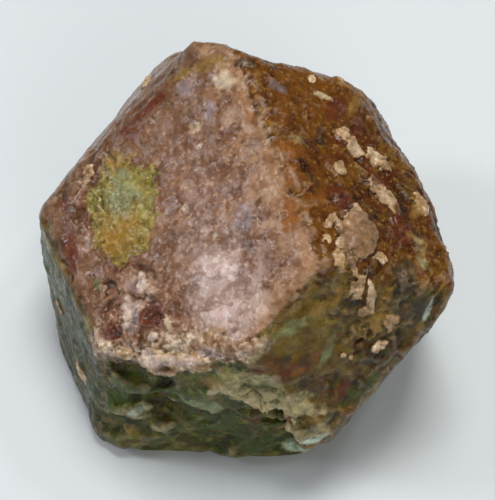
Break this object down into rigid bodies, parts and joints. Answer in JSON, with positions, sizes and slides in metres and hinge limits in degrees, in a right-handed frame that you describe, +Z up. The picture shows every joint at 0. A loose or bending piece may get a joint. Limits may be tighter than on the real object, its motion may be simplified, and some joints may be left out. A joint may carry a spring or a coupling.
{
  "type": "garnet crystal",
  "caption": "Loose garnet crystal: a worn, unevenly grown rhombic dodecahedron with a broken, foliated front and a flat underside to stand on.",
  "frame": {"origin": "middle of the bounding box's underside, on the surface that the crystal rests on", "axes": "+Z up, away from the flat underside; -Y towards the broken front; +X to the amber face"},
  "size_m": [0.0322, 0.0328, 0.0254],
  "materials": {
    "garnet": "worn, mottled rose-brown crystal with olive and green broken ground"
  },
  "bodies": {
    "root": {"garnet_crystal": "garnet"}
  },
  "joints": []
}
